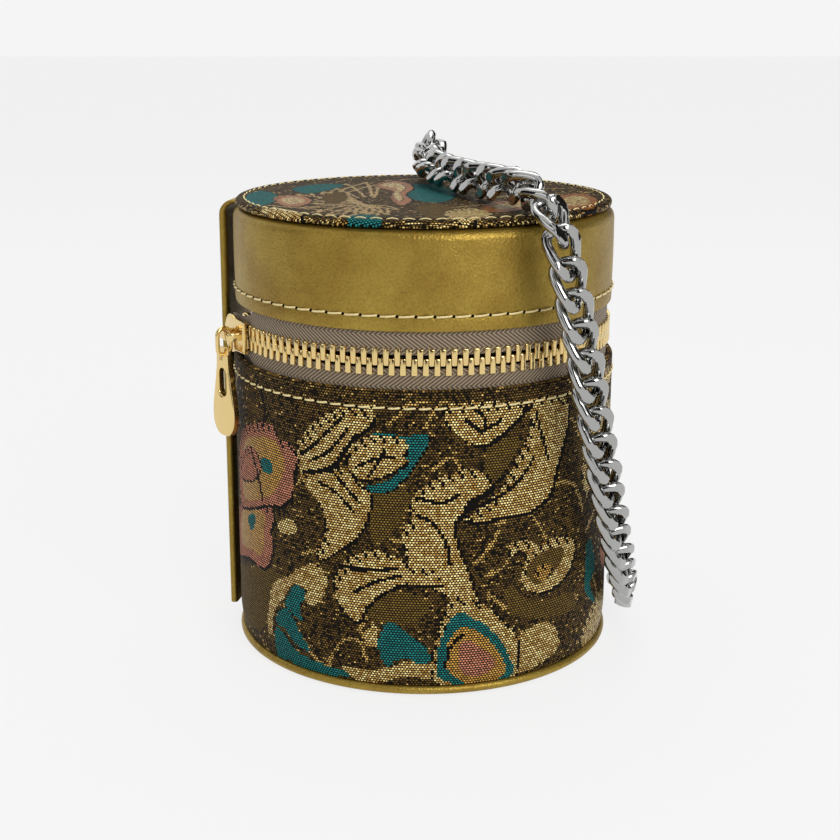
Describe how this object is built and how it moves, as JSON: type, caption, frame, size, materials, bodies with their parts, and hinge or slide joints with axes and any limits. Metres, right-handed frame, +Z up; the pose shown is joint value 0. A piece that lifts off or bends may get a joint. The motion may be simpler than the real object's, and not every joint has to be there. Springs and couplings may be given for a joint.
{
  "type": "cylinder bag",
  "caption": "Small round box bag with a zip round the lid, a leather hinge strip up the side and a curb chain handle.",
  "frame": {"origin": "middle of the base, on the surface the bag stands on", "axes": "+Z up along the bag, -Y towards the front of the bag, +X to the right seen from the front"},
  "size_m": [0.1085, 0.1127, 0.1246],
  "materials": {
    "brocade": "woven floral brocade, dark ground with gold, teal and rose",
    "gold_leather": "metallic olive gold leather with a fine crinkle",
    "grey_board": "plain box board",
    "lining_cloth": "plain brown woven lining",
    "zip_tape": "taupe herringbone zip tape",
    "gold_brass": "polished light gold",
    "nickel_steel": "polished nickel"
  },
  "bodies": {
    "bag": {"base_binding": "gold_leather", "base_board": "grey_board", "base_cover": "gold_leather", "base_lining": "lining_cloth", "body_brocade": "brocade", "body_lining": "lining_cloth", "body_stiffener": "grey_board", "hinge_strip": "gold_leather", "zip_end_stop": "gold_brass", "zip_tape_lower": "zip_tape", "zip_teeth_lower": "gold_brass"},
    "lid": {"chain_end_lower": "nickel_steel", "chain_end_upper": "nickel_steel", "chain_links_01": "nickel_steel", "chain_links_02": "nickel_steel", "chain_links_03": "nickel_steel", "chain_links_04": "nickel_steel", "chain_links_05": "nickel_steel", "chain_links_06": "nickel_steel", "chain_links_07": "nickel_steel", "chain_links_08": "nickel_steel", "chain_links_09": "nickel_steel", "chain_links_10": "nickel_steel", "chain_links_11": "nickel_steel", "chain_links_12": "nickel_steel", "chain_links_13": "nickel_steel", "chain_links_14": "nickel_steel", "chain_links_15": "nickel_steel", "chain_links_16": "nickel_steel", "chain_links_17": "nickel_steel", "chain_links_18": "nickel_steel", "chain_links_19": "nickel_steel", "chain_links_20": "nickel_steel", "chain_links_21": "nickel_steel", "chain_links_22": "nickel_steel", "chain_links_23": "nickel_steel", "chain_links_24": "nickel_steel", "chain_links_25": "nickel_steel", "chain_ring": "nickel_steel", "lid_band": "gold_leather", "lid_board": "grey_board", "lid_lining": "lining_cloth", "lid_stiffener": "grey_board", "lid_top": "brocade", "lid_top_lining": "lining_cloth", "ring_tab": "gold_leather", "zip_tape_upper": "zip_tape", "zip_teeth_upper": "gold_brass"},
    "slider": {"zip_slider": "gold_brass"},
    "pull_link": {"pull_link": "gold_brass"},
    "pull_tab": {"pull_tab": "gold_brass"}
  },
  "joints": [
    {"name": "lid_hinge", "type": "hinge", "parent": "bag", "child": "lid", "pos_m": [-0.0483, 0.00939, 0.0808], "axis": [-0.1908, -0.9816, 0], "range_deg": [0, 130], "deforming": ["hinge_strip", "zip_tape_upper", "zip_teeth_upper"]},
    {"name": "slider_travel", "type": "hinge", "parent": "bag", "child": "slider", "pos_m": [0, 0, 0.0808], "axis": [0, 0, 1], "range_deg": [0, 308], "deforming": ["zip_tape_lower", "zip_tape_upper", "zip_teeth_lower", "zip_teeth_upper"]},
    {"name": "link_swing", "type": "hinge", "parent": "slider", "child": "pull_link", "pos_m": [-0.04868, -0.01739, 0.0808], "axis": [-0.6428, 0.766, 0], "range_deg": [0, 120]},
    {"name": "tab_swing", "type": "hinge", "parent": "pull_link", "child": "pull_tab", "pos_m": [-0.04868, -0.01739, 0.07715], "axis": [-0.6428, 0.766, 0], "range_deg": [0, 60]}
  ]
}
